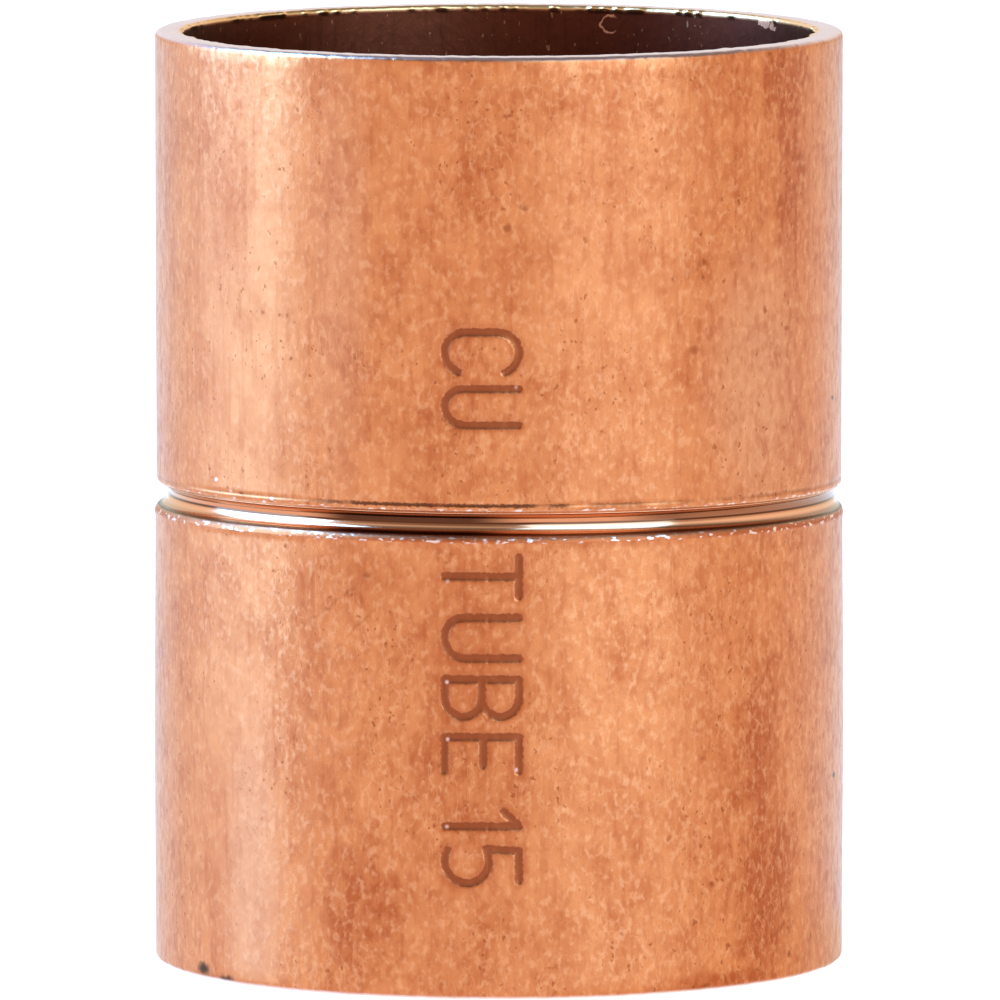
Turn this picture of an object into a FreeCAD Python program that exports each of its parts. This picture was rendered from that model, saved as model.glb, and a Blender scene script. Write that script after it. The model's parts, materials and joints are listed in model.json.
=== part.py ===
import FreeCAD, Part
import math
import os

# Straight end-feed coupling for 15 mm copper tube, formed from one piece of copper tube.
# Two equal sockets open up and down. A groove rolled around the middle of the outside pushes
# the wall in, and the ridge that it makes inside stops both tubes.
# The origin is on the tube axis at mid-length, +Z points out of the upper socket, and the
# stamped marking faces -Y. All lengths are in millimetres.

# Tube and sockets
TUBE_DIAMETER = 15.0
SOCKET_CLEARANCE = 0.05            # radial, between a tube and its socket
WALL = 0.65
LENGTH = 22.2
MOUTH_ROUND = 0.10                 # inner edge of each end
RIM_ROUND = 0.20                   # outer edge of each end

# Rolled groove outside and tube stop inside, both centred at Z = 0
GROOVE_DEPTH = 0.30
GROOVE_HALF_WIDTH = 0.42
GROOVE_FLOOR_RADIUS = 0.26
WALL_UNDER_GROOVE = 0.65
STOP_CREST_RADIUS = 0.59
STOP_ROOT_RADIUS = 0.12

# Stamped marking: the letters' tops face +X and the line reads downwards
MARK_DEPTH = 0.08
STROKE_WIDTH = 0.20
LETTER_HEIGHT = 1.74               # between stroke centres
LETTER_GAP = 0.48                  # between the stroke centres of neighbouring letters
MARK_FOOT_X = -1.27                # stroke centre at the letters' feet
UPPER_MARK = "CU"
UPPER_MARK_START_Z = 4.65
LOWER_MARK = "TUBE 15"
LOWER_MARK_START_Z = -0.77

BORE_RADIUS = TUBE_DIAMETER / 2 + SOCKET_CLEARANCE
OUTER_RADIUS = BORE_RADIUS + WALL
HALF_LENGTH = LENGTH / 2

# The groove's floor and shoulders are arcs that meet smoothly, turning by this many degrees
GROOVE_SLOPE = 2 * math.degrees(math.atan(GROOVE_DEPTH / GROOVE_HALF_WIDTH))
GROOVE_SHOULDER_RADIUS = (
    GROOVE_HALF_WIDTH / math.sin(math.radians(GROOVE_SLOPE)) - GROOVE_FLOOR_RADIUS
)


def point(radius, height):
    """A point of the wall's profile, in the XZ plane."""
    return FreeCAD.Vector(radius, 0, height)


def toward(centre, radius, degrees):
    """The point at this distance from centre. 0 degrees is outwards, 90 is up."""
    angle = math.radians(degrees)
    return centre + FreeCAD.Vector(radius * math.cos(angle), 0, radius * math.sin(angle))


def arc(centre, radius, first, last):
    """An arc of the profile from one angle to the other, in degrees."""
    middle = toward(centre, radius, (first + last) / 2)
    ends = toward(centre, radius, first), toward(centre, radius, last)
    return Part.Arc(ends[0], middle, ends[1]).toShape()


def joined(edges):
    """One closed wire: the edges in order, with a straight line across each gap."""
    chain = []
    for edge, following in zip(edges, edges[1:] + edges[:1]):
        chain.append(edge)
        start = edge.lastVertex(True).Point
        end = following.firstVertex(True).Point
        if start.distanceToPoint(end) > 1e-6:
            chain.append(Part.LineSegment(start, end).toShape())
    return Part.Wire(chain)


def upper_outside():
    """From the groove's floor up over the shoulder and the rim to the mouth."""
    floor = point(OUTER_RADIUS - GROOVE_DEPTH + GROOVE_FLOOR_RADIUS, 0)
    shoulder = point(OUTER_RADIUS - GROOVE_SHOULDER_RADIUS, GROOVE_HALF_WIDTH)
    rim = point(OUTER_RADIUS - RIM_ROUND, HALF_LENGTH - RIM_ROUND)
    mouth = point(BORE_RADIUS + MOUTH_ROUND, HALF_LENGTH - MOUTH_ROUND)
    return [
        arc(floor, GROOVE_FLOOR_RADIUS, 180, 180 - GROOVE_SLOPE),
        arc(shoulder, GROOVE_SHOULDER_RADIUS, -GROOVE_SLOPE, 0),
        arc(rim, RIM_ROUND, 0, 90),
        arc(mouth, MOUTH_ROUND, 90, 180),
    ]


def upper_stop():
    """From the socket's wall down round the root to the crest of the tube stop."""
    crest_radius = OUTER_RADIUS - GROOVE_DEPTH - WALL_UNDER_GROOVE
    crest = point(crest_radius + STOP_CREST_RADIUS, 0)
    reach = STOP_CREST_RADIUS + STOP_ROOT_RADIUS
    inward = crest.x - (BORE_RADIUS - STOP_ROOT_RADIUS)
    root = point(crest.x - inward, math.sqrt(reach**2 - inward**2))
    slope = math.degrees(math.asin(inward / reach))
    return [
        arc(root, STOP_ROOT_RADIUS, 0, -90 + slope),
        arc(crest, STOP_CREST_RADIUS, 90 + slope, 180),
    ]


def mirrored(edge):
    """The same edge below mid-length, running the other way."""
    below = [FreeCAD.Vector(v.x, v.y, -v.z) for v in edge_points(edge)]
    return Part.Arc(below[2], below[1], below[0]).toShape()


def edge_points(edge):
    """Start, middle and end of an arc."""
    first, last = edge.ParameterRange
    return [edge.valueAt(t) for t in (first, (first + last) / 2, last)]


def tube_wall():
    """The coupling's wall, turned from its profile."""
    upper = upper_outside() + upper_stop()
    lower = [mirrored(edge) for edge in reversed(upper)]
    profile = Part.Face(joined(upper + lower))
    return profile.revolve(FreeCAD.Vector(), FreeCAD.Vector(0, 0, 1), 360)


def line(*corners):
    """A stroke through these corners, in letter heights."""
    return ("line", corners)


def bend(centre, radius, first, last):
    """A round stroke, in letter heights and degrees, counted from the reading direction."""
    return ("bend", centre, radius, first, last)


# Each letter: its width and its strokes. X runs along the line and Y up the letter.
LETTERS = {
    "C": (0.50, [bend((0.28, 0.72), 0.28, 20, 180), line((0, 0.72), (0, 0.28)),
                 bend((0.28, 0.28), 0.28, 180, 340)]),
    "U": (0.52, [line((0, 1), (0, 0.26)), bend((0.26, 0.26), 0.26, 180, 360),
                 line((0.52, 0.26), (0.52, 1))]),
    "T": (0.52, [line((0, 1), (0.52, 1)), line((0.26, 1), (0.26, 0))]),
    "B": (0.50, [line((0.25, 1), (0, 1), (0, 0), (0.25, 0)), line((0, 0.5), (0.25, 0.5)),
                 bend((0.25, 0.75), 0.25, -90, 90), bend((0.25, 0.25), 0.25, -90, 90)]),
    "E": (0.46, [line((0.46, 1), (0, 1), (0, 0), (0.46, 0)), line((0, 0.52), (0.38, 0.52))]),
    "1": (0.20, [line((0, 0.80), (0.20, 1), (0.20, 0))]),
    "5": (0.50, [line((0.46, 1), (0.06, 1), (0.03, 0.56), (0.20, 0.60)),
                 bend((0.20, 0.30), 0.30, -120, 90)]),
    " ": (0.0, []),
}


def flat(x, y):
    """A point of a letter's plane, with X along the line and Y up the letter."""
    return FreeCAD.Vector(x, y, 0)


def turned(radius, degrees):
    """The step of this length in this direction in a letter's plane."""
    angle = math.radians(degrees)
    return flat(radius * math.cos(angle), radius * math.sin(angle))


def flat_arc(centre, radius, first, last):
    """An arc in a letter's plane."""
    along = [centre + turned(radius, angle) for angle in (first, (first + last) / 2, last)]
    return Part.Arc(*along).toShape()


def straight_bar(start, end):
    """The outline of a straight stroke with round ends."""
    half = STROKE_WIDTH / 2
    along = math.degrees(math.atan2(end.y - start.y, end.x - start.x))
    side = turned(half, along + 90)
    return [
        Part.LineSegment(start - side, end - side).toShape(),
        flat_arc(end, half, along - 90, along + 90),
        Part.LineSegment(end + side, start + side).toShape(),
        flat_arc(start, half, along + 90, along + 270),
    ]


def round_bar(centre, radius, first, last):
    """The outline of a round stroke with round ends, going anticlockwise."""
    half = STROKE_WIDTH / 2
    return [
        flat_arc(centre, radius + half, first, last),
        flat_arc(centre + turned(radius, last), half, last, last + 180),
        flat_arc(centre, radius - half, last, first),
        flat_arc(centre + turned(radius, first), half, first + 180, first + 360),
    ]


def outlines(stroke):
    """The closed outlines that cover one stroke, one for each straight or round stretch."""
    if stroke[0] == "bend":
        centre, radius, first, last = stroke[1:]
        return [round_bar(flat(*centre) * LETTER_HEIGHT, radius * LETTER_HEIGHT, first, last)]
    corners = [flat(x, y) * LETTER_HEIGHT for x, y in stroke[1]]
    return [straight_bar(start, end) for start, end in zip(corners, corners[1:])]


def letter_solid(strokes):
    """A letter's strokes as one solid that stands up along Z, twice as thick as the wall."""
    depth = FreeCAD.Vector(0, 0, 2 * WALL)
    bars = [
        Part.Face(Part.Wire(outline)).extrude(depth)
        for stroke in strokes
        for outline in outlines(stroke)
    ]
    return bars[0].multiFuse(bars[1:])


def mark_punches(text, start_z):
    """The letters of one line of the marking, standing through the wall where they go."""
    punches = []
    z = start_z
    for letter in text:
        width, strokes = LETTERS[letter]
        if strokes:
            punch = letter_solid(strokes)
            reading_down = FreeCAD.Vector(0, 0, -1)
            letter_up = FreeCAD.Vector(1, 0, 0)
            outwards = FreeCAD.Vector(0, -1, 0)
            punch.Placement = FreeCAD.Placement(
                FreeCAD.Vector(MARK_FOOT_X, -BORE_RADIUS, z),
                FreeCAD.Rotation(reading_down, letter_up, outwards),
            )
            punches.append(punch)
        z -= width * LETTER_HEIGHT + LETTER_GAP
    return punches


def stamped(body):
    """The body with the marking pressed to an even depth below its round surface."""
    axis_start = FreeCAD.Vector(0, 0, -HALF_LENGTH)
    core = Part.makeCylinder(OUTER_RADIUS - MARK_DEPTH, LENGTH, axis_start)
    for text, start_z in ((UPPER_MARK, UPPER_MARK_START_Z), (LOWER_MARK, LOWER_MARK_START_Z)):
        for punch in mark_punches(text, start_z):
            body = body.cut(punch.cut(core))
    return body


def save(name, shape):
    """Write one sub-part, after checking that it is one sound solid."""
    if len(shape.Solids) != 1 or not shape.isValid():
        raise ValueError(name + " is not one valid solid")
    shape.Solids[0].exportStep("parts/" + name + ".step")


os.makedirs("parts", exist_ok=True)
save("coupling_body", stamped(tube_wall()))
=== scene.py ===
import json
import math

import bmesh
import bpy
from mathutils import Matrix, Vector, noise


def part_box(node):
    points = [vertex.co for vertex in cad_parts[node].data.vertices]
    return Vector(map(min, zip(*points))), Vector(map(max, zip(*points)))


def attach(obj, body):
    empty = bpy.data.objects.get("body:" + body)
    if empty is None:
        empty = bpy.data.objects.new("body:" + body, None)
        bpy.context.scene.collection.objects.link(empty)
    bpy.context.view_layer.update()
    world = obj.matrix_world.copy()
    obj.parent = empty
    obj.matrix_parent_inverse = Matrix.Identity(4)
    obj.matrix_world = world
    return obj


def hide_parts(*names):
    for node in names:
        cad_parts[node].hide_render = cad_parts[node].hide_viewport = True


# A straight copper coupling for 15 mm tube, standing on a pale studio floor.
# One mesh, turned from the wall's profile, replaces the CAD node. It adds what a real fitting has:
# the pressed marking, burrs on the cut ends, draw lines, and a wall that isn't perfectly round.
# Blender's unit is the metre. The coupling's own sizes are given in millimetres and scaled.

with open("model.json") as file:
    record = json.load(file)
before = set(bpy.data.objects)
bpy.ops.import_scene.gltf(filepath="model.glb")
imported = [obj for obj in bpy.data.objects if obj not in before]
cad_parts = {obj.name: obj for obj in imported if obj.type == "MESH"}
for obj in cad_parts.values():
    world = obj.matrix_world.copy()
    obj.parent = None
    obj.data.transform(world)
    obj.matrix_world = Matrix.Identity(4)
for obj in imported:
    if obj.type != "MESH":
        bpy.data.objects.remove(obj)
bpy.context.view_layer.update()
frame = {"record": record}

MM = 0.001
NODE = "coupling_body"
low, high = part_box(NODE)
MOUNTS = {mount["name"]: mount for mount in frame["record"]["mounts"]}

# The wall, from the frame
OUTER_RADIUS = (high.x - low.x) / 2 / MM
HALF_LENGTH = (high.z - low.z) / 2 / MM
BORE_RADIUS = MOUNTS["upper_socket"]["dims"]["r_mm"]

# The rounded edges of the two ends, inside and outside
MOUTH_ROUND = 0.10
RIM_ROUND = 0.14

# The rolled groove and the tube stop behind it
GROOVE_DEPTH = 0.30
GROOVE_HALF_WIDTH = 0.42
GROOVE_FLOOR_RADIUS = 0.26
GROOVE_SLOPE = 2 * math.degrees(math.atan(GROOVE_DEPTH / GROOVE_HALF_WIDTH))
GROOVE_SHOULDER_RADIUS = (
    GROOVE_HALF_WIDTH / math.sin(math.radians(GROOVE_SLOPE)) - GROOVE_FLOOR_RADIUS
)
WALL_UNDER_GROOVE = 0.65
STOP_CREST_RADIUS = 0.59
STOP_ROOT_RADIUS = 0.12

# The pressed marking: the letters' tops face +X and the line reads downwards
MARK_DEPTH = 0.04
STROKE_WIDTH = 0.20
LETTER_HEIGHT = 1.74
LETTER_GAP = 0.48
MARK_FOOT_X = -1.27
MARK_LINES = (("CU", 4.65), ("TUBE 15", -0.77))
MARK_MARGIN = 0.30

# How uneven the real wall is, in millimetres
UPPER_NARROWING = 0.017            # just above the groove, fading out towards the upper end
LOWER_WIDENING = 0.012
LOWER_BULGE = 0.023                # on top of the widening, halfway down
OVAL = 0.012
THREE_LOBED = 0.006
WAVES = 0.010
GROOVE_RISE = 0.035                # of the groove above mid-length, all round
GROOVE_TILT = 0.085                # more at the front and less at the back
GROOVE_SIDE_TILT = 0.03            # less on the right and more on the left
LIP_HEIGHT = 0.014                 # on average, and up to twice this
SCORE_DEPTH = 0.015
SHALLOW_SIDE = 0.11                # how much shallower the groove is on the right
DRAW_LINE_DEPTH = 0.05             # times noise that hardly ever passes 0.4
BURR_LENGTH = 0.09
END_UNEVENNESS = 0.010

# How finely the mesh is divided
COLUMNS = 192
GROOVE_STEP = 0.08
GROOVE_EDGE_STEP = 0.04
GROOVE_EDGE_WIDTH = 0.30           # of the wall beside the groove, divided as finely as its edge
WALL_STEP = 0.27
RIM_STEP = 0.10
MOUTH_STEP = 0.05
BORE_STEP = 0.90
BELOW_MOUTH = 0.10                 # a ring this far below the mouth's edge ends the burrs
MARK_CUTS = 6
RIM_CUTS = 4

# The height at which the cut end's burrs and colour begin, and where they are complete
END_START = HALF_LENGTH - 0.13
END_FULL = HALF_LENGTH - 0.05


# ---- Camera -----------------------------------------------------------------------------------

CAMERA_DISTANCE = 453 * MM
CAMERA_ABOVE_BASE = 58.5 * MM
CAMERA_LENS = 687
AIM_ASIDE = 0.025 * MM
AIM_BELOW = 0.156 * MM


def make_camera():
    """A long lens at some distance, looking slightly down at the front."""
    data = bpy.data.cameras.new("camera")
    data.lens = CAMERA_LENS
    data.clip_end = 10
    camera = bpy.data.objects.new("camera", data)
    bpy.context.collection.objects.link(camera)
    camera.location = (AIM_ASIDE, -CAMERA_DISTANCE, low.z + CAMERA_ABOVE_BASE)
    aim = Vector((AIM_ASIDE, 0, (low.z + high.z) / 2 - AIM_BELOW))
    camera.rotation_euler = (aim - camera.location).to_track_quat("-Z", "Y").to_euler()
    bpy.context.scene.camera = camera


make_camera()


# ---- Shape ------------------------------------------------------------------------------------

def arc_points(centre, radius, first, last, steps):
    """Points of the profile along an arc, both ends included. 0 degrees is outwards, 90 is up."""
    points = []
    for step in range(steps + 1):
        angle = math.radians(first + (last - first) * step / steps)
        points.append((centre[0] + radius * math.cos(angle), centre[1] + radius * math.sin(angle)))
    return points


def line_points(start, end, spacing):
    """Points between two points of the profile, both ends left out."""
    steps = max(1, round(math.dist(start, end) / spacing))
    points = []
    for step in range(1, steps):
        share = step / steps
        points.append(tuple(a + (b - a) * share for a, b in zip(start, end)))
    return points


def upper_profile():
    """(radius, height) in mm from the groove's floor up outside and down inside to the stop."""
    floor = (OUTER_RADIUS - GROOVE_DEPTH + GROOVE_FLOOR_RADIUS, 0)
    shoulder = (OUTER_RADIUS - GROOVE_SHOULDER_RADIUS, GROOVE_HALF_WIDTH)
    rim = (OUTER_RADIUS - RIM_ROUND, HALF_LENGTH - RIM_ROUND)
    mouth = (BORE_RADIUS + MOUTH_ROUND, HALF_LENGTH - MOUTH_ROUND)
    crest_radius = OUTER_RADIUS - GROOVE_DEPTH - WALL_UNDER_GROOVE
    crest = (crest_radius + STOP_CREST_RADIUS, 0)
    reach = STOP_CREST_RADIUS + STOP_ROOT_RADIUS
    inward = crest[0] - (BORE_RADIUS - STOP_ROOT_RADIUS)
    root = (crest[0] - inward, math.sqrt(reach**2 - inward**2))
    slope = math.degrees(math.asin(inward / reach))
    beside_groove = (OUTER_RADIUS, GROOVE_HALF_WIDTH + GROOVE_EDGE_WIDTH)
    below_mouth = (BORE_RADIUS, HALF_LENGTH - MOUTH_ROUND - BELOW_MOUTH)
    stretches = [
        (arc_points(floor, GROOVE_FLOOR_RADIUS, 180, 180 - GROOVE_SLOPE, 7), GROOVE_STEP),
        (arc_points(shoulder, GROOVE_SHOULDER_RADIUS, -GROOVE_SLOPE, 0, 7), GROOVE_EDGE_STEP),
        ([beside_groove], WALL_STEP),
        (arc_points(rim, RIM_ROUND, 0, 90, 6), RIM_STEP),
        (arc_points(mouth, MOUTH_ROUND, 90, 180, 4), MOUTH_STEP),
        ([below_mouth], BORE_STEP),
        (arc_points(root, STOP_ROOT_RADIUS, 0, -90 + slope, 4), BORE_STEP),
        (arc_points(crest, STOP_CREST_RADIUS, 90 + slope, 180, 8), None),
    ]
    points = []
    for (stretch, spacing), following in zip(stretches, stretches[1:] + [None]):
        points += stretch
        if following:
            points += line_points(stretch[-1], following[0][0], spacing)
    return points


def turned_mesh():
    """The wall's profile turned about the axis, as a bmesh in millimetres."""
    upper = upper_profile()
    lower = [(radius, -height) for radius, height in reversed(upper[1:-1])]
    made = bmesh.new()
    rings = []
    for radius, height in upper + lower:
        ring = []
        for column in range(COLUMNS):
            angle = 2 * math.pi * column / COLUMNS
            place = (radius * math.sin(angle), -radius * math.cos(angle), height)
            ring.append(made.verts.new(place))
        rings.append(ring)
    for ring, following in zip(rings, rings[1:] + rings[:1]):
        for column in range(COLUMNS):
            beside = (column + 1) % COLUMNS
            made.faces.new((ring[column], ring[beside], following[beside], following[column]))
    return made


# Each letter: its width and its strokes, in letter heights. X runs along the line and Y up.
# A stroke is a list of corners, or a bend: (centre, radius, first degree, last degree).
LETTERS = {
    "C": (0.50, [((0.28, 0.72), 0.28, 20, 180), [(0, 0.72), (0, 0.28)],
                 ((0.28, 0.28), 0.28, 180, 340)]),
    "U": (0.52, [[(0, 1), (0, 0.26)], ((0.26, 0.26), 0.26, 180, 360), [(0.52, 0.26), (0.52, 1)]]),
    "T": (0.52, [[(0, 1), (0.52, 1)], [(0.26, 1), (0.26, 0)]]),
    "B": (0.50, [[(0.25, 1), (0, 1), (0, 0), (0.25, 0)], [(0, 0.5), (0.25, 0.5)],
                 ((0.25, 0.75), 0.25, -90, 90), ((0.25, 0.25), 0.25, -90, 90)]),
    "E": (0.46, [[(0.46, 1), (0, 1), (0, 0), (0.46, 0)], [(0, 0.52), (0.38, 0.52)]]),
    "1": (0.20, [[(0, 0.80), (0.20, 1), (0.20, 0)]]),
    "5": (0.50, [[(0.46, 1), (0.06, 1), (0.03, 0.56), (0.20, 0.60)],
                 ((0.20, 0.30), 0.30, -120, 90)]),
    " ": (0.0, []),
}
BEND_STEPS = 12


def stroke_corners(stroke):
    """The stroke as corners, a bend being cut into short chords."""
    if isinstance(stroke, list):
        return stroke
    (x, y), radius, first, last = stroke
    corners = []
    for step in range(BEND_STEPS + 1):
        angle = math.radians(first + (last - first) * step / BEND_STEPS)
        corners.append((x + radius * math.cos(angle), y + radius * math.sin(angle)))
    return corners


def mark_segments():
    """The marking's centre lines as pairs of (X, Z) points in millimetres."""
    segments = []
    for text, start_z in MARK_LINES:
        z = start_z
        for letter in text:
            width, strokes = LETTERS[letter]
            for stroke in strokes:
                corners = [
                    Vector((MARK_FOOT_X + up * LETTER_HEIGHT, z - along * LETTER_HEIGHT))
                    for along, up in stroke_corners(stroke)
                ]
                segments += list(zip(corners, corners[1:]))
            z -= width * LETTER_HEIGHT + LETTER_GAP
    return segments


MARK = mark_segments()

# The corners (X, Z) of the window round the marking
MARK_HEIGHTS = [point.y for segment in MARK for point in segment]
MARK_LOW = (MARK_FOOT_X - MARK_MARGIN, min(MARK_HEIGHTS) - MARK_MARGIN)
MARK_HIGH = (MARK_FOOT_X + LETTER_HEIGHT + MARK_MARGIN, max(MARK_HEIGHTS) + MARK_MARGIN)


def distance_to_mark(x, z):
    """Distance in millimetres from a point of the front to the nearest stroke's centre line."""
    spot = Vector((x, z))
    nearest = MARK_MARGIN
    for start, end in MARK:
        if abs(start.y - z) > LETTER_HEIGHT:
            continue
        along = end - start
        share = max(0.0, min(1.0, (spot - start).dot(along) / along.length_squared))
        nearest = min(nearest, (start + along * share - spot).length)
    return nearest


def in_mark_window(place):
    """True near the marking, on the outside of the front."""
    if place.y > -BORE_RADIUS + 0.1 or math.hypot(place.x, place.y) < OUTER_RADIUS - 0.05:
        return False
    return MARK_LOW[0] < place.x < MARK_HIGH[0] and MARK_LOW[1] < place.z < MARK_HIGH[1]


def runs_round_rim(edge):
    """True for an edge of the cut ends that runs round the axis."""
    first, second = (vertex.co for vertex in edge.verts)
    level = abs(first.z - second.z) < 1e-6
    even = abs(first.to_2d().length - second.to_2d().length) < 1e-6
    return level and even and abs(first.z) > HALF_LENGTH - RIM_ROUND - 0.01


def refine(made):
    """Divides the faces round the marking and along the rims more finely."""
    near = [face for face in made.faces if in_mark_window(face.calc_center_median())]
    edges = list({edge for face in near for edge in face.edges})
    bmesh.ops.subdivide_edges(made, edges=edges, cuts=MARK_CUTS, use_grid_fill=True)
    round_rims = [edge for edge in made.edges if runs_round_rim(edge)]
    bmesh.ops.subdivide_edges(made, edges=round_rims, cuts=RIM_CUTS)


def smooth(value, start, end):
    """0 before start, 1 after end, and a smooth turn between them."""
    share = max(0.0, min(1.0, (value - start) / (end - start)))
    return share * share * (3 - 2 * share)


def barrel(z):
    """How far the outside bulges at this height, in millimetres."""
    if z > 0:
        return -UPPER_NARROWING * (1 - smooth(z, 0, HALF_LENGTH))
    halfway = math.sin(math.pi * min(1, -z / HALF_LENGTH)) ** 2
    return LOWER_WIDENING + LOWER_BULGE * halfway


def mark_relief(x, z):
    """(height change in mm, nearness to a stroke's centre line from 0 to 1) round the marking."""
    distance = distance_to_mark(x, z)
    pressed = 1 - smooth(distance, STROKE_WIDTH * 0.22, STROKE_WIDTH * 0.60)
    return -MARK_DEPTH * pressed, 1 - distance / MARK_MARGIN


def around(angle, turns, height):
    """Noise, between -1 and 1, along a ring: the larger turns, the finer."""
    return noise.noise(Vector((math.sin(angle) * turns, math.cos(angle) * turns, height)))


def rim_burr(angle, z, radius):
    """(radius change, height change) in mm that cutting has left on the two ends."""
    end = 1 if z > 0 else -1
    inner = 1 - smooth(radius, BORE_RADIUS, BORE_RADIUS + 0.20)
    edge = smooth(abs(z), END_START, END_FULL)
    ragged = around(angle, 34, 3 * end)
    broad = around(angle, 9, 5 * end)
    inward = -BURR_LENGTH * max(0.0, ragged + broad) * inner * edge
    outward = END_UNEVENNESS * (ragged + broad) * edge
    return inward, outward * end


def draw_lines(angle, z, radius):
    """Radius change in mm: faint lines that drawing the tube left along each half's outside."""
    end = 1 if z > 0 else -1
    outside = smooth(radius, OUTER_RADIUS - 0.20, OUTER_RADIUS - 0.05)
    return -DRAW_LINE_DEPTH * outside * max(0.0, around(angle, 48, 9 * end) - 0.25)


def groove_rise(angle):
    """How far the groove sits above mid-length here: it isn't quite square to the tube."""
    return GROOVE_RISE + GROOVE_TILT * math.cos(angle) - GROOVE_SIDE_TILT * math.sin(angle)


def groove_change(angle, z):
    """Radius change in mm: a scored upper edge, a raised lower lip, a shallower right side."""
    score = math.exp(-(((z - GROOVE_HALF_WIDTH - 0.03) / 0.04) ** 2))
    lip = math.exp(-(((z + GROOVE_HALF_WIDTH + 0.01) / 0.07) ** 2))
    right = max(0.0, math.sin(angle)) ** 2 * (1 - smooth(abs(z), 0.08, GROOVE_HALF_WIDTH))
    raised = LIP_HEIGHT * lip * (1 + around(angle, 12, 1)) + SHALLOW_SIDE * right
    return raised - SCORE_DEPTH * score


def worn_place(place):
    """(where a vertex of the perfect shape really goes, its nearness to the marking)."""
    radius = math.hypot(place.x, place.y)
    angle = math.atan2(place.x, -place.y)
    z = place.z
    outside = smooth(radius, BORE_RADIUS - 0.10, BORE_RADIUS + 0.10)
    change = OVAL * math.cos(2 * angle + 0.6) + THREE_LOBED * math.cos(3 * angle)
    wave = noise.noise(Vector((place.x * 0.35, place.y * 0.35, z * 0.12)))
    change += outside * (barrel(z) + WAVES * wave + groove_change(angle, z))
    nearness = 0.0
    if in_mark_window(place):
        relief, nearness = mark_relief(place.x, z)
        change += relief
    change += draw_lines(angle, z, radius)
    burr_in, burr_up = rim_burr(angle, z, radius)
    scale = (radius + change + burr_in) / radius
    rise = groove_rise(angle) * (1 - smooth(abs(z), 1.0, 4.0))
    return Vector((place.x * scale, place.y * scale, z + burr_up + rise)), nearness


def inside_share(place):
    """1 on the bore and the stop, 0 on the rims and outside."""
    radius = math.hypot(place.x, place.y)
    below_rim = 1 - smooth(abs(place.z), END_START, END_FULL)
    return below_rim * (1 - smooth(radius, BORE_RADIUS + 0.02, BORE_RADIUS + 0.07))


def rim_share(place):
    """1 on the cut end faces and their rounded edges, 0 elsewhere."""
    return smooth(abs(place.z), HALF_LENGTH - RIM_ROUND * 0.6, HALF_LENGTH - RIM_ROUND * 0.1)


def mouth_share(place):
    """1 on the rounded inner edge of the two mouths, 0 elsewhere."""
    radius = math.hypot(place.x, place.y)
    near_bore = 1 - smooth(radius, BORE_RADIUS + 0.07, BORE_RADIUS + 0.12)
    return near_bore * smooth(abs(place.z), END_START, HALF_LENGTH - 0.07)


def make_coupling():
    """The coupling as one closed mesh that carries the zones of its surface as attributes."""
    made = turned_mesh()
    refine(made)
    zones = {"marking": [], "height": [], "inside": [], "rim": [], "mouth": []}
    for vertex in made.verts:
        place = vertex.co.copy()
        worn, nearness = worn_place(place)
        zones["marking"].append(nearness)
        zones["height"].append(place.z)
        zones["inside"].append(inside_share(place))
        zones["rim"].append(rim_share(place))
        zones["mouth"].append(mouth_share(place))
        vertex.co = worn * MM
    made.normal_update()
    mesh = bpy.data.meshes.new("copper_coupling")
    made.to_mesh(mesh)
    made.free()
    mesh.shade_smooth()
    for name, values in zones.items():
        mesh.attributes.new(name, "FLOAT", "POINT").data.foreach_set("value", values)
    coupling = bpy.data.objects.new("copper_coupling", mesh)
    bpy.context.collection.objects.link(coupling)
    return coupling


coupling = make_coupling()
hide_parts(NODE)
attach(coupling, "root")


# ---- Material ---------------------------------------------------------------------------------

RIGHT = (1, 0, 0)
FORWARD = (0, -1, 0)
BACKWARD = (0, 1, 0)


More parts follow.
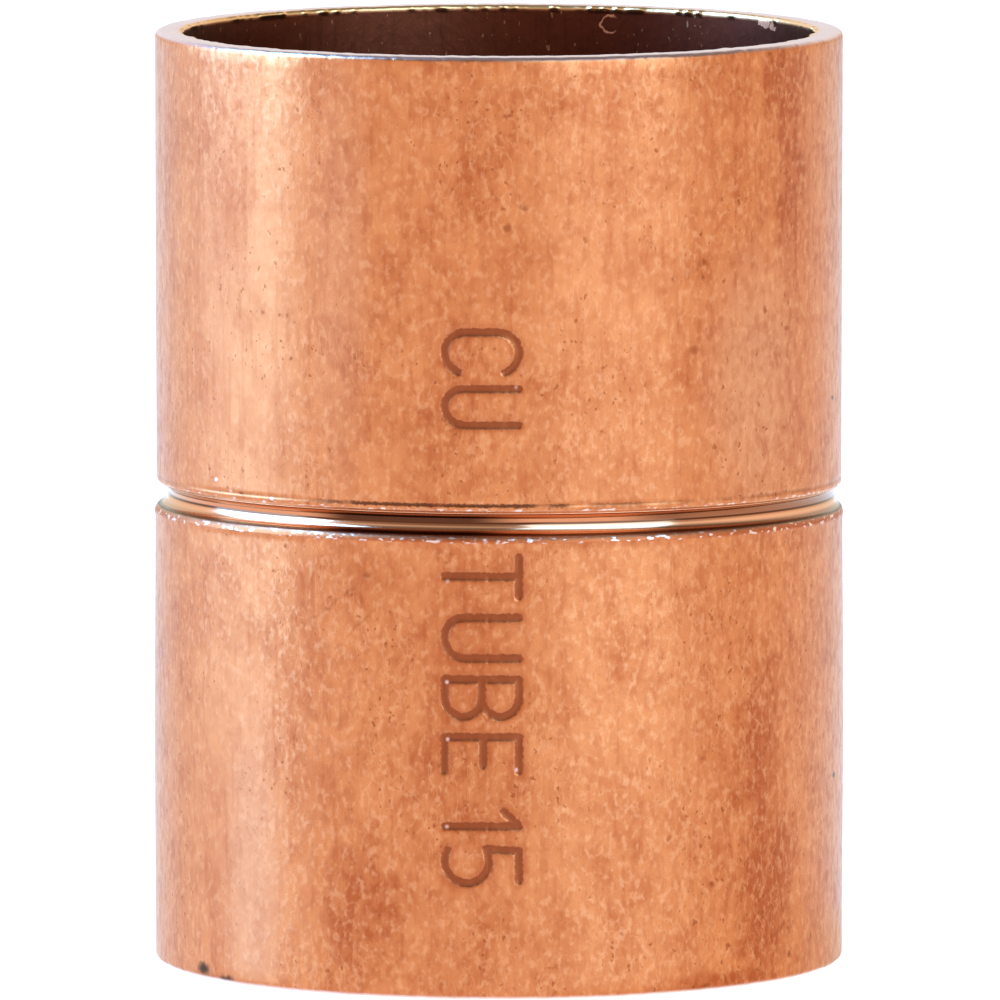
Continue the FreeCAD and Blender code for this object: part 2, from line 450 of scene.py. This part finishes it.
class Graph:
    """Short names for the nodes that the copper uses. Lengths are in millimetres."""

    def __init__(self, tree):
        self.tree = tree
        coordinates = tree.nodes.new("ShaderNodeTexCoord").outputs["Object"]
        self.place = self.vector("MULTIPLY", coordinates, (1 / MM, 1 / MM, 1 / MM))
        self.wobbly = self.place

    def node(self, kind, **settings):
        made = self.tree.nodes.new(kind)
        for name, value in settings.items():
            setattr(made, name, value)
        return made

    def feed(self, socket, value):
        if isinstance(value, bpy.types.NodeSocket):
            self.tree.links.new(value, socket)
        else:
            socket.default_value = value

    def math(self, operation, first, second=0.0):
        made = self.node("ShaderNodeMath", operation=operation)
        self.feed(made.inputs[0], first)
        self.feed(made.inputs[1], second)
        return made.outputs[0]

    def product(self, *values):
        result = values[0]
        for value in values[1:]:
            result = self.math("MULTIPLY", result, value)
        return result

    def total(self, *weighted):
        """The sum of (value, weight) pairs."""
        result = 0.0
        for value, weight in weighted:
            result = self.math("ADD", result, self.math("MULTIPLY", value, weight))
        return result

    def largest(self, *values):
        result = values[0]
        for value in values[1:]:
            result = self.math("MAXIMUM", result, value)
        return result

    def rest(self, value):
        """What is left of 1."""
        return self.math("SUBTRACT", 1.0, value)

    def vector(self, operation, first, second=(0, 0, 0), output="Vector"):
        made = self.node("ShaderNodeVectorMath", operation=operation)
        self.feed(made.inputs[0], first)
        self.feed(made.inputs[1], second)
        return made.outputs[output]

    def length(self, offset):
        return self.vector("LENGTH", offset, output="Value")

    def reach(self, offset, direction):
        """How far the offset goes in this direction."""
        return self.vector("DOT_PRODUCT", offset, direction, output="Value")

    def noise(self, size, along=1.0, detail=2.0, shift=0.0, output="Fac"):
        """Noise with grains of this size, drawn out this many times along the axis."""
        stretched = self.vector("MULTIPLY", self.place, (1 / size, 1 / size, 1 / (size * along)))
        moved = self.vector("ADD", stretched, (shift, shift * 0.7, shift * 0.3))
        made = self.node("ShaderNodeTexNoise")
        self.feed(made.inputs["Vector"], moved)
        made.inputs["Scale"].default_value = 1.0
        made.inputs["Detail"].default_value = detail
        return made.outputs[output]

    def wobble(self, size, reach):
        """Moves the stains drawn from here on by this much, so that their outlines are uneven."""
        pushed = self.vector("SUBTRACT", self.noise(size, 1.0, 3, output="Color"), (0.5, 0.5, 0.5))
        moved = self.vector("MULTIPLY", pushed, (reach, reach, reach))
        self.wobbly = self.vector("ADD", self.place, moved)

    def band(self, value, centre, half):
        """1 where the value is at the centre, 0 from half away."""
        away = self.math("ABSOLUTE", self.math("SUBTRACT", value, centre))
        return self.ramp(away, half, half * 0.3)

    def strands(self, size, width, along=1.0, shift=0.0):
        """Thin wandering lines, like the scratches of wire wool."""
        return self.band(self.noise(size, along, 2, shift), 0.5, width)

    def stain(self, x, z, half_width, half_height):
        """1 at a place on the front, fading to 0 at these distances."""
        centre = (x, -math.sqrt(OUTER_RADIUS**2 - x**2), z)
        stretch = (1 / half_width, 1 / half_width, 1 / half_height)
        offset = self.vector("MULTIPLY", self.vector("SUBTRACT", self.wobbly, centre), stretch)
        return self.ramp(self.length(offset), 1.0, 0.2)

    def stains(self, places):
        """The strongest of the stains at these (X, Z, half width, half height, strength)."""
        shares = [self.product(self.stain(*place[:4]), place[4]) for place in places]
        return self.largest(*shares)

    def flat_offset(self, centre):
        """The offset from a centre, as seen from the front."""
        return self.vector("MULTIPLY", self.vector("SUBTRACT", self.wobbly, centre), (1, 0, 1))

    def scratch(self, start, end, half_width):
        """1 along a straight scratch on the front between two (X, Z) points."""
        run = Vector(end) - Vector(start)
        along = run.normalized()
        offset = self.vector("SUBTRACT", self.wobbly, (start[0], 0, start[1]))
        travelled = self.reach(offset, (along.x, 0, along.y))
        aside = self.reach(offset, (-along.y, 0, along.x))
        within = self.band(travelled, run.length / 2, run.length / 2)
        front = self.ramp(self.reach(self.place, FORWARD), 0, 1)
        return self.product(within, front, self.band(aside, 0, half_width))

    def ramp(self, value, start, end):
        """0 at start and 1 at end, smooth between them. start may be the larger."""
        made = self.node("ShaderNodeMapRange", interpolation_type="SMOOTHSTEP")
        self.feed(made.inputs["Value"], value)
        low_first = start < end
        made.inputs["From Min"].default_value = start if low_first else end
        made.inputs["From Max"].default_value = end if low_first else start
        made.inputs["To Min"].default_value = 0.0 if low_first else 1.0
        made.inputs["To Max"].default_value = 1.0 if low_first else 0.0
        return made.outputs["Result"]

    def zone(self, name):
        return self.node("ShaderNodeAttribute", attribute_name=name).outputs["Fac"]

    def mix(self, share, first, second):
        """The first colour at share 0 and the second at share 1."""
        return self.between("RGBA", "Color", share, first, second)

    def blend(self, share, first, second):
        """The first number at share 0 and the second at share 1."""
        return self.between("FLOAT", "Float", share, first, second)

    def between(self, data_type, suffix, share, first, second):
        made = self.node("ShaderNodeMix", data_type=data_type)
        inputs = {socket.identifier: socket for socket in made.inputs}
        outputs = {socket.identifier: socket for socket in made.outputs}
        self.feed(inputs["Factor_Float"], share)
        self.feed(inputs["A_" + suffix], first)
        self.feed(inputs["B_" + suffix], second)
        return outputs["Result_" + suffix]


# Colours of the outside
COPPER = (0.700, 0.219, 0.070, 1)
RED_COPPER = (0.47, 0.100, 0.028, 1)
PALE_COPPER = (0.86, 0.36, 0.150, 1)
MATT_COPPER = (0.72, 0.34, 0.17, 1)
RUST = (0.33, 0.070, 0.018, 1)
DIRT = (0.075, 0.024, 0.012, 1)
# Pale copper painted as glints: at the glint spots and along the groove's lip and ledge
GLINT_COPPER = (0.95, 0.66, 0.52, 1)
PRESSED = (0.29, 0.060, 0.018, 1)

# Colours of the groove, the cut ends and the bore
ROLLED_COPPER = (0.73, 0.25, 0.10, 1)
# Paler copper for the groove's floor and shoulders: polish from rolling, partly a painted
# highlight
POLISH_AND_HIGHLIGHT_COPPER = (0.89, 0.42, 0.22, 1)
# Dark brown: painted shade along the groove, partly dirt, and the streaks of the bore
GRIME_AND_SHADE = (0.07, 0.018, 0.008, 1)
CUT_METAL = (0.88, 0.65, 0.57, 1)
# Cut copper on the mouths' rounded inner edges, painted golden as a highlight
GOLDEN_HIGHLIGHT_METAL = (0.95, 0.52, 0.20, 1)
OXIDE = (0.165, 0.035, 0.014, 1)
# Oxide darkened as painted shade on the bore's +X side
SHADED_OXIDE = (0.085, 0.009, 0.003, 1)
SWARF = (0.80, 0.27, 0.12, 1)

# What the metal's reflections are tinted with where the light only grazes it
EDGE_TINT = (0.94, 0.98, 0.89, 1)
WHITE = (1, 1, 1, 1)

# Roughness of each part of the surface
MOTTLE_ROUGHNESS = (0.27, 0.35)
GROOVE_ROUGHNESS = 0.13
LIP_ROUGHNESS = 0.42
RIM_ROUGHNESS = 0.30
STROKE_ROUGHNESS = 0.45
BORE_ROUGHNESS = 0.38

# The fine relief, as a bump
RELIEF_STRENGTH = 0.36
RELIEF_HEIGHT = 0.010 * MM

# Bands along the groove: the height of the middle and half the width, in millimetres
LIP = (-0.37, 0.10)
LEDGE = (0.32, 0.05)
# The shoulders and the floor band get paler polished copper, partly a painted highlight
UPPER_SHOULDER = (0.26, 0.09)
LOWER_SHOULDER = (-0.30, 0.07)
BRIGHT_FLOOR = (-0.13, 0.13)
# The crease, the two shade bands and the thin lines carry painted shade, partly dirt
CREASE = (GROOVE_HALF_WIDTH + 0.065, 0.065)
UPPER_SHADE = (0.085, 0.17)
LOWER_SHADE = (-0.23, 0.12)
THIN_LINES = ((0.0, 0.04), (-0.255, 0.05))

# Redder, duller places on the front: X, Z, half width, half height in mm, and strength
STAINS = (
    (-0.5, 8.8, 0.7, 2.6, 0.30),
    # This one dulls the top of the left softbox's band: painted shade
    (-6.4, 8.8, 1.8, 5.0, 0.50),
    (2.6, 9.2, 2.4, 4.5, 0.25),
    (5.6, -10.9, 2.4, 0.40, 0.80),
    (6.8, 10.2, 1.5, 1.5, 1.00),
    (5.2, 10.4, 1.5, 1.0, 0.40),
    (6.9, 7.8, 0.9, 3.0, 0.70),
    (4.7, 6.0, 0.6, 0.8, 0.60),
    (6.4, 4.0, 0.9, 1.2, 0.20),
    (6.1, -5.6, 1.2, 3.0, 0.65),
    (6.3, -8.9, 1.5, 2.8, 1.00),
    (-3.2, -9.0, 1.5, 2.4, 0.60),
    (-0.9, -5.0, 1.3, 5.5, 0.25),
    (-0.9, 3.4, 0.9, 2.6, 0.35),
    (-5.9, 10.7, 1.0, 0.5, 0.40),
)

# Paler, matt places
PALE_PATCHES = (
    (6.1, 3.2, 2.3, 4.6, 0.45),
    # This one pales the lower part of the left softbox's band: painted light
    (-5.8, -9.0, 1.4, 6.0, 0.25),
    (-3.7, 6.0, 1.0, 7.0, 0.20),
)

# Evenly rubbed places, with less mottling
RUBBED_PLACES = (
    (-6.1, 5.0, 2.9, 10.0, 1.0),
    (-6.3, -6.0, 2.6, 8.0, 0.7),
    (2.5, 6.5, 2.6, 8.0, 0.6),
)

# Rust-coloured spots
SPOTS = (
    (6.4, 10.9, 0.10, 0.08, 0.8),
    (6.7, 10.6, 0.09, 0.10, 0.9),
    (7.3, 10.7, 0.12, 0.10, 0.8),
    (5.6, 10.6, 0.08, 0.10, 0.5),
    (6.8, 8.1, 0.20, 0.07, 0.6),
    (4.8, 6.2, 0.10, 0.14, 0.9),
    (4.8, 5.8, 0.09, 0.12, 1.0),
    (4.1, 5.8, 0.09, 0.11, 0.7),
    (5.3, 5.7, 0.12, 0.09, 0.7),
    (6.3, 4.9, 0.12, 0.11, 0.8),
    (6.8, 4.4, 0.14, 0.09, 0.7),
    (4.6, 4.1, 0.22, 0.12, 0.7),
    (5.4, 3.8, 0.09, 0.16, 0.7),
    (6.1, 3.9, 0.08, 0.12, 0.7),
    (0.2, 9.7, 0.18, 0.07, 0.7),
    (0.6, 7.6, 0.18, 0.08, 0.6),
    (0.2, 7.1, 0.14, 0.12, 0.7),
    (-4.0, 1.8, 0.10, 0.08, 0.6),
    (-3.1, -1.1, 0.14, 0.14, 0.7),
    (-4.5, -3.4, 0.10, 0.12, 0.6),
    (-2.6, -3.1, 0.08, 0.08, 0.6),
    (4.9, -10.95, 0.16, 0.07, 0.9),
    (6.1, -10.7, 0.10, 0.10, 0.8),
    (6.9, -10.5, 0.12, 0.12, 1.0),
    (7.4, -10.2, 0.10, 0.12, 0.9),
    (5.0, -8.6, 0.12, 0.10, 0.9),
    (4.0, -7.4, 0.09, 0.09, 0.7),
)

# Black dirt
DIRTY_SPOTS = (
    (-7.00, -10.87, 0.40, 0.24, 1.0),
    (-6.45, -11.00, 0.40, 0.14, 0.9),
    (7.95, 2.5, 0.22, 0.10, 1.0),
    (7.95, -6.5, 0.22, 0.10, 1.0),
    (-6.1, 0.55, 0.16, 0.05, 0.7),
)

# Painted glints, as pale spots: beside the groove, and where the stamp's corners hit
GLINT_SPOTS = (
    (-6.70, 0.83, 0.09, 0.07, 1.0),
    (-6.35, 0.60, 0.08, 0.06, 0.8),
    (-5.36, 0.52, 0.09, 0.06, 1.0),
    (-1.20, -1.22, 0.08, 0.08, 1.0),
    (-1.22, -3.60, 0.08, 0.08, 1.0),
    (-1.20, -4.95, 0.08, 0.08, 1.0),
    (-1.22, -7.02, 0.08, 0.08, 0.9),
    (0.40, -5.66, 0.08, 0.08, 0.9),
    (0.40, 3.35, 0.08, 0.08, 0.8),
)

# Scratches on the front: the two ends (X, Z) in mm
SCRATCHES = (
    ((-4.8, -2.6), (-3.1, -1.2)),
    ((-4.1, -3.2), (-2.8, -1.8)),
)

# A curl of swarf and two drops of metal inside the upper mouth, at the back
CURL_CENTRE = (2.69, 0, 10.66)
CURL_RADIUS = 0.22
CURL_HALF_WIDTH = 0.035
CURL_OPENING = 0.16
DROPS = (
    ((6.37, 0, 10.92), 0.13),
    ((6.58, 0, 10.88), 0.09),
)


def bore_colour(graph, streak):
    """The bore's colour: dark oxide with painted shade that darkens it towards +X, with scuffs and
    some swarf at the back.
    """
    scuffs = graph.product(graph.ramp(graph.noise(0.11, 1.6, 1, shift=61), 0.70, 0.78), 0.35)
    # Painted shade: the bore darkens towards +X
    shaded_right = graph.ramp(graph.reach(graph.place, RIGHT), -1.0, 6.0)
    bore = graph.mix(graph.product(streak, 0.35), OXIDE, GRIME_AND_SHADE)
    bore = graph.mix(graph.product(shaded_right, 0.7), bore, SHADED_OXIDE)
    bore = graph.mix(scuffs, bore, PALE_COPPER)
    offset = graph.flat_offset(CURL_CENTRE)
    ring = graph.band(graph.length(offset), CURL_RADIUS, CURL_HALF_WIDTH)
    opening = graph.ramp(graph.reach(offset, RIGHT), CURL_OPENING, CURL_OPENING - 0.10)
    swarf = graph.product(ring, opening)
    for centre, radius in DROPS:
        length = graph.length(graph.flat_offset(centre))
        swarf = graph.largest(swarf, graph.ramp(length, radius, radius * 0.7))
    behind = graph.ramp(graph.reach(graph.place, BACKWARD), 0, 1)
    return graph.mix(graph.product(swarf, behind), bore, SWARF)


def groove_shade_and_grime(graph, height):
    """1 where shade is painted along the groove, partly dirt: lines in its recesses that come and
    go round the coupling, left out where the right softbox's reflection falls.
    """
    across = graph.reach(graph.place, RIGHT)
    # Less painted shade on the right
    less_shade_right = graph.blend(graph.ramp(across, 2.5, 5.0), 1, 0.6)
    shaded = graph.product(graph.ramp(across, -4.7, -3.5), less_shade_right)
    # No painted shade where the right softbox's reflection falls on the groove
    lit_by_right_softbox = graph.band(across, 1.75, 2.5)
    ragged = graph.total((height, 1.0), (graph.noise(0.07, 1.0, 2, shift=41), 0.09))
    crease = graph.product(
        graph.band(ragged, *CREASE),
        graph.blend(shaded, 0.15, 0.85),
        graph.blend(graph.ramp(across, 0.5, 4.5), 1.0, 0.5),
        graph.ramp(graph.noise(0.8, 1.0, 2, shift=43), 0.28, 0.55),
    )
    wide = graph.product(shaded, graph.rest(lit_by_right_softbox), 0.95)
    upper = graph.product(graph.band(height, *UPPER_SHADE), wide)
    lower = graph.product(graph.band(height, *LOWER_SHADE), graph.largest(wide, 0.30))
    thin = graph.largest(*[graph.band(height, *line) for line in THIN_LINES])
    return graph.largest(crease, upper, lower, graph.product(thin, 0.92))


class CopperSurface:
    """The copper's colour, roughness and relief, with the shares (0 to 1) they depend on."""

    def __init__(self, graph):
        self.graph = graph
        self.glint_spots = graph.stains(GLINT_SPOTS)
        graph.wobble(0.30, 0.25)
        self.rubbed = graph.stains(RUBBED_PLACES)
        self.patch = graph.ramp(graph.noise(0.60, 1.4, 2, shift=53), 0.42, 0.66)
        mottle = graph.ramp(graph.noise(0.24, 1.5, 3, shift=3), 0.40, 0.68)
        self.mottle = graph.blend(graph.product(self.rubbed, 0.7), mottle, 0.4)
        self.streak = graph.ramp(graph.noise(0.17, 11.0, 2, shift=11), 0.48, 0.72)

        self.height = graph.zone("height")
        self.rim = graph.zone("rim")
        self.inside = graph.zone("inside")
        self.outside = graph.rest(self.inside)
        in_groove = graph.ramp(graph.math("ABSOLUTE", self.height), 0.28, 0.22)
        self.groove = graph.product(in_groove, self.outside)
        self.lip = graph.product(graph.band(self.height, *LIP), self.outside)
        ledge = graph.product(graph.band(self.height, *LEDGE), self.outside)
        self.chatter = graph.largest(self.lip, ledge)
        # Painted glints: pale spots along the lip and the ledge
        bright_spots = graph.ramp(graph.noise(0.20, 0.5, 1, shift=71), 0.56, 0.66)
        self.glints = graph.product(self.chatter, bright_spots)

        self.nearness = graph.zone("marking")
        uneven = graph.total((self.nearness, 1.0), (graph.noise(0.09, 1.0, 2, shift=83), 0.34))
        worn = graph.blend(self.mottle, 0.95, 0.82)
        self.stroke = graph.product(graph.ramp(uneven, 0.78, 0.92), worn)

    def drawn_colour(self):
        """The outside's colour: mottled, brushed along the axis, specked and stained, with painted
        glints and some painted light and shade on the left softbox's band.
        """
        graph = self.graph
        mottle = self.mottle
        cloud = graph.ramp(graph.noise(1.5, 1.3, 3), 0.42, 0.64)
        light = graph.ramp(graph.noise(0.15, 1.4, 2, shift=7), 0.48, 0.72)
        light = graph.product(light, graph.blend(self.rubbed, 0.42, 0.10))
        worn = graph.ramp(graph.noise(2.6, 1.2, 2, shift=31), 0.40, 0.60)
        hairs = graph.product(
            graph.strands(0.34, 0.022, 2.5, shift=17),
            graph.blend(worn, 0.05, 0.25),
            graph.blend(self.rubbed, 1.0, 0.3),
        )
        specks = graph.product(graph.ramp(graph.noise(0.13, 1.2, 1, shift=37), 0.67, 0.75), worn)
        dull = graph.product(graph.stains(STAINS), graph.blend(mottle, 0.70, 1.0))
        pale = graph.product(graph.stains(PALE_PATCHES), graph.blend(mottle, 1.0, 0.6))
        scratches = [graph.scratch(start, end, 0.06) for start, end in SCRATCHES]
        scratched = graph.product(graph.largest(*scratches), graph.blend(mottle, 0.15, 0.45))
        pitted = graph.product(graph.ramp(graph.noise(0.10, 1.2, 2, shift=67), 0.55, 0.68), dull)
        rust = graph.largest(
            graph.product(specks, 0.75), graph.product(pitted, 0.8), graph.stains(SPOTS), scratched
        )
        red = graph.total(
            (cloud, 0.26), (mottle, 0.36), (self.patch, 0.22), (self.streak, 0.22), (dull, 1.0)
        )

        colour = graph.mix(red, COPPER, RED_COPPER)
        colour = graph.mix(pale, colour, MATT_COPPER)
        colour = graph.mix(light, colour, PALE_COPPER)
        colour = graph.mix(hairs, colour, PALE_COPPER)
        colour = graph.mix(rust, colour, RUST)
        colour = graph.mix(graph.stains(DIRTY_SPOTS), colour, DIRT)
        # Painted glints at the glint spots
        return graph.mix(self.glint_spots, colour, GLINT_COPPER)

    def add_groove(self, colour):
        """The rolled groove's polish with a painted highlight, its painted shade, partly dirt, and
        painted glints over the outside's colour.
        """
        graph = self.graph
        shoulders = graph.largest(
            graph.band(self.height, *UPPER_SHOULDER), graph.band(self.height, *LOWER_SHOULDER)
        )
        floor = graph.band(self.height, *BRIGHT_FLOOR)
        # Paler polish on the floor and shoulders, partly a painted highlight
        polish_and_highlight = graph.largest(floor, graph.product(shoulders, 0.7))
        # Painted shade along the groove, partly dirt
        shade_and_grime = groove_shade_and_grime(graph, self.height)
        colour = graph.mix(self.groove, colour, ROLLED_COPPER)
        colour = graph.mix(graph.product(polish_and_highlight, self.outside), colour, POLISH_AND_HIGHLIGHT_COPPER)
        colour = graph.mix(graph.product(self.lip, 0.8), colour, RED_COPPER)
        colour = graph.mix(graph.product(shade_and_grime, self.outside), colour, GRIME_AND_SHADE)
        # Painted glints along the lip and the ledge
        return graph.mix(self.glints, colour, GLINT_COPPER)

    def add_marking(self, colour):
        """The marking's dark strokes, and the redder metal round them."""
        graph = self.graph
        halo = graph.product(graph.ramp(self.nearness, 0.05, 0.60), 0.40)
        colour = graph.mix(halo, colour, RED_COPPER)
        return graph.mix(graph.product(self.stroke, graph.rest(self.glint_spots)), colour, PRESSED)

    def colour(self):
        graph = self.graph
        colour = self.add_marking(self.add_groove(self.drawn_colour()))
        colour = graph.mix(self.rim, colour, CUT_METAL)
        # Painted golden highlight on the mouths' rounded inner edges
        colour = graph.mix(graph.zone("mouth"), colour, GOLDEN_HIGHLIGHT_METAL)
        return graph.mix(self.inside, colour, bore_colour(graph, self.streak))

    def grazing_tint(self):
        return self.graph.mix(self.rim, EDGE_TINT, WHITE)

    def roughness(self):
        graph = self.graph
        dull_lip = graph.product(self.lip, graph.rest(self.glints))
        roughness = graph.blend(self.mottle, *MOTTLE_ROUGHNESS)
        roughness = graph.blend(self.groove, roughness, GROOVE_ROUGHNESS)
        roughness = graph.blend(dull_lip, roughness, LIP_ROUGHNESS)
        roughness = graph.blend(self.rim, roughness, RIM_ROUGHNESS)
        roughness = graph.blend(self.stroke, roughness, STROKE_ROUGHNESS)
        return graph.blend(self.inside, roughness, BORE_ROUGHNESS)

    def normal(self):
        """The fine relief: the mottling's grain, and notches on the groove's two edges."""
        graph = self.graph
        grain = graph.noise(0.08, 1.5, 1, shift=23)
        mottled = graph.total((self.mottle, 0.6), (grain, 0.35), (self.patch, 0.3))
        beside_groove = graph.product(mottled, graph.rest(self.groove))
        notches = graph.product(self.chatter, graph.noise(0.12, 1.5, 1, shift=73))
        bump = graph.node("ShaderNodeBump")
        bump.inputs["Strength"].default_value = RELIEF_STRENGTH
        bump.inputs["Distance"].default_value = RELIEF_HEIGHT
        graph.feed(bump.inputs["Height"], graph.total((beside_groove, 1.0), (notches, 2.0)))
        return bump.outputs["Normal"]


def copper_material():
    """Drawn copper, lightly handled, with a rolled groove, cut ends and a dark bore, and with
    painted shade, highlights and glints.
    """
    material = bpy.data.materials.new("drawn_copper")
    material.use_nodes = True
    shader = material.node_tree.nodes["Principled BSDF"]
    graph = Graph(material.node_tree)
    surface = CopperSurface(graph)
    graph.feed(shader.inputs["Base Color"], surface.colour())
    graph.feed(shader.inputs["Specular Tint"], surface.grazing_tint())
    graph.feed(shader.inputs["Roughness"], surface.roughness())
    graph.feed(shader.inputs["Normal"], surface.normal())
    shader.inputs["Metallic"].default_value = 1.0
    return material


coupling.data.materials.append(copper_material())


# ---- Studio -----------------------------------------------------------------------------------

FLOOR_SIZE = 3.0
FLOOR_GAP = 0.02 * MM
FLOOR_COLOUR = (0.30, 0.30, 0.30, 1)
FLOOR_ROUGHNESS = 0.9
FLOOR_GLOW = 0.90

# The room is bright up to WALL_TOP, in degrees above the floor, and dim from CEILING_START
ROOM_LIGHT = 1.0
CEILING_LIGHT = 0.22
WALL_TOP = 20
CEILING_START = 50

# The softboxes: name, azimuth (0 is the front and +90 the right), elevation and glow in RGB
SOFTBOXES = (
    ("left_softbox", -95, 27, (2.1, 7.2, 17.8)),
    ("right_softbox", 40, 27, (1.1, 2.5, 4.5)),
)
SOFTBOX_WIDTH = 0.42
SOFTBOX_HEIGHT = 0.58
SOFTBOX_DISTANCE = 0.5


def make_floor():
    """A plain pale floor, just under the burrs of the lower end."""
    half = FLOOR_SIZE / 2
    z = low.z - FLOOR_GAP
    corners = [(x * half, y * half, z) for x, y in ((-1, -1), (1, -1), (1, 1), (-1, 1))]
    mesh = bpy.data.meshes.new("floor")
    mesh.from_pydata(corners, [], [(0, 1, 2, 3)])
    floor = bpy.data.objects.new("floor", mesh)
    bpy.context.collection.objects.link(floor)
    material = bpy.data.materials.new("floor")
    material.use_nodes = True
    shader = material.node_tree.nodes["Principled BSDF"]
    shader.inputs["Base Color"].default_value = FLOOR_COLOUR
    shader.inputs["Roughness"].default_value = FLOOR_ROUGHNESS
    shader.inputs["Specular IOR Level"].default_value = 0.0
    shader.inputs["Emission Color"].default_value = WHITE
    shader.inputs["Emission Strength"].default_value = FLOOR_GLOW
    mesh.materials.append(material)


def make_softbox(name, azimuth, elevation, glow):
    """A soft light that faces the coupling and isn't seen itself."""
    data = bpy.data.lights.new(name, "AREA")
    data.shape = "RECTANGLE"
    data.size = SOFTBOX_WIDTH
    data.size_y = SOFTBOX_HEIGHT
    data.energy = max(glow) * math.pi * SOFTBOX_WIDTH * SOFTBOX_HEIGHT
    data.color = [share / max(glow) for share in glow]
    light = bpy.data.objects.new(name, data)
    bpy.context.collection.objects.link(light)
    turn = math.radians(azimuth)
    rise = math.radians(elevation)
    flat = math.cos(rise)
    out = Vector((math.sin(turn) * flat, -math.cos(turn) * flat, math.sin(rise)))
    light.location = out * SOFTBOX_DISTANCE
    light.rotation_euler = (-out).to_track_quat("-Z", "Y").to_euler()
    light.visible_camera = False


def make_room():
    """White light from the walls all round and less from the ceiling."""
    world = bpy.data.worlds.new("studio")
    world.use_nodes = True
    tree = world.node_tree
    background = tree.nodes["Background"]
    background.inputs["Color"].default_value = WHITE
    direction = tree.nodes.new("ShaderNodeTexCoord").outputs["Generated"]
    parts = tree.nodes.new("ShaderNodeSeparateXYZ")
    tree.links.new(direction, parts.inputs["Vector"])
    fade = tree.nodes.new("ShaderNodeMapRange")
    fade.interpolation_type = "SMOOTHSTEP"
    fade.inputs["From Min"].default_value = math.sin(math.radians(WALL_TOP))
    fade.inputs["From Max"].default_value = math.sin(math.radians(CEILING_START))
    fade.inputs["To Min"].default_value = ROOM_LIGHT
    fade.inputs["To Max"].default_value = CEILING_LIGHT
    tree.links.new(parts.outputs["Z"], fade.inputs["Value"])
    tree.links.new(fade.outputs["Result"], background.inputs["Strength"])
    bpy.context.scene.world = world


make_room()
make_floor()
for softbox in SOFTBOXES:
    make_softbox(*softbox)
bpy.context.scene.view_settings.view_transform = "Standard"
